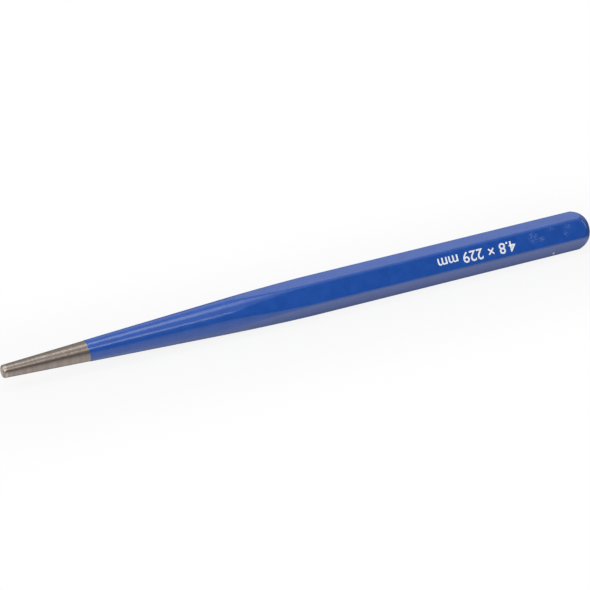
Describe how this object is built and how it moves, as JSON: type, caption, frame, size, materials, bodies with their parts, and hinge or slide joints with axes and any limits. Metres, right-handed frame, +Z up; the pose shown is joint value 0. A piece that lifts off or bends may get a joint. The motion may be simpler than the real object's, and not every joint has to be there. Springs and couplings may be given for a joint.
{
  "type": "drift punch",
  "caption": "Steel drift punch with a bare round tip, a long taper that runs out over the flats of a painted hexagonal shank, and a rounded struck head.",
  "frame": {"origin": "on the surface that the punch lies on, under the middle of its length and width", "axes": "+X along the punch from the tip to the struck head, +Z up, out of the flat opposite the one that it lies on"},
  "size_m": [0.2286, 0.0146, 0.0129],
  "materials": {
    "ground_steel": "fine turned and ground, satin",
    "blue_enamel": "glossy blue enamel"
  },
  "bodies": {
    "root": {"steel_body": "ground_steel", "enamel_coat": "blue_enamel"}
  },
  "joints": []
}
